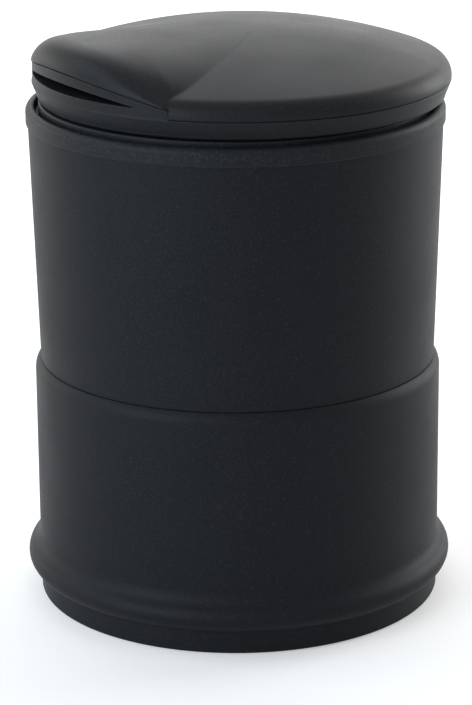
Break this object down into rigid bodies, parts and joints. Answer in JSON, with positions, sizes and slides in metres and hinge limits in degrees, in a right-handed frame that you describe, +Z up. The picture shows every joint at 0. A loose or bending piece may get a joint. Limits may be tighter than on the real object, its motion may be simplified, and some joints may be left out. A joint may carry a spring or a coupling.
{
  "type": "car ashtray",
  "caption": "Cup-holder car ashtray: tapered black cup in a beaded sleeve, with a lift-out steel liner and a hinged domed lid with a nose and finger scoop.",
  "frame": {"origin": "on the floor under the centre of the cup, at the underside of the rubber foot ring", "axes": "+Z up along the cup's axis, +X towards the hinge, -X towards the thumb tab, Y along the hinge pin"},
  "size_m": [0.0756, 0.0756, 0.1019],
  "materials": {
    "cup_plastic": "fine grained matt",
    "rim_plastic": "coarse grained matt",
    "lid_plastic": "fine grained satin",
    "drawn_steel": "drawn",
    "fastener_steel": "zinc plated",
    "rubber": "matt"
  },
  "bodies": {
    "cup": {"outer_cup": "cup_plastic", "lower_sleeve": "cup_plastic", "foot": "cup_plastic", "foot_pad": "rubber", "rim_ring": "rim_plastic", "collar": "rim_plastic", "hinge_pin": "fastener_steel", "liner": "drawn_steel", "stub_bridge": "drawn_steel", "foot_screw_1": "fastener_steel", "foot_screw_2": "fastener_steel", "foot_screw_3": "fastener_steel"},
    "lid": {"lid_base": "lid_plastic", "lid_cover": "lid_plastic", "heat_shield": "drawn_steel", "lid_seal": "rubber", "lid_screw_1": "fastener_steel", "lid_screw_2": "fastener_steel", "lid_screw_3": "fastener_steel"}
  },
  "joints": [
    {"name": "lid_hinge", "type": "hinge", "parent": "cup", "child": "lid", "pos_m": [0.0344, 0, 0.0908], "axis": [0, 1, 0], "range_deg": [0, 100]}
  ]
}
